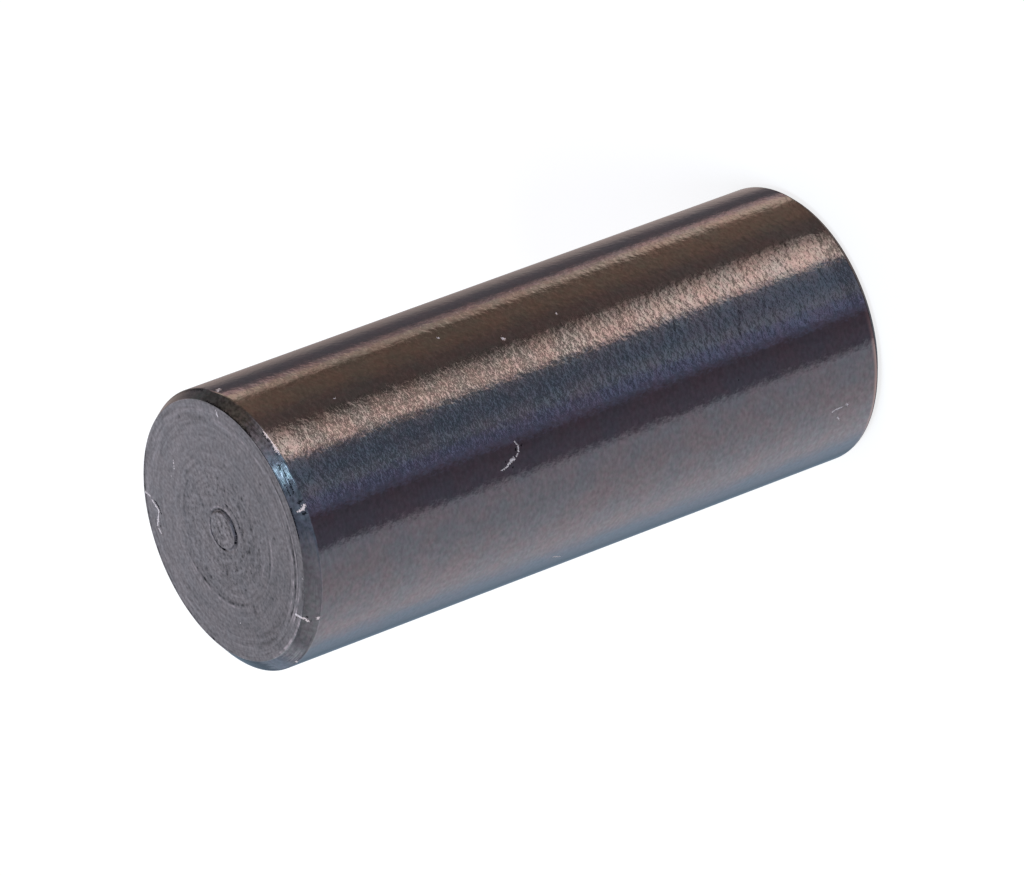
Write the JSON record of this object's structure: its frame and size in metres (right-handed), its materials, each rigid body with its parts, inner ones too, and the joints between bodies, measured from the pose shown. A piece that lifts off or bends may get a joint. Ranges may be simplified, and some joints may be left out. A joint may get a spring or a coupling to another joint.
{
  "type": "hinge pin",
  "caption": "Short straight round pin in blackened steel, ground on its outside, with a small chamfer at each end and a parting nib on one end face.",
  "frame": {"origin": "middle of the lower end face, on which the pin stands", "axes": "+Z along the pin's axis, from the plain end to the parted end; the section is round, so X and Y are any two directions across it"},
  "size_m": [0.008, 0.008, 0.0197],
  "materials": {
    "blackened_steel": "black oxide over a fine ground outside and turned end faces, with a few bright nicks"
  },
  "bodies": {
    "root": {"hinge_pin": "blackened_steel"}
  },
  "joints": []
}
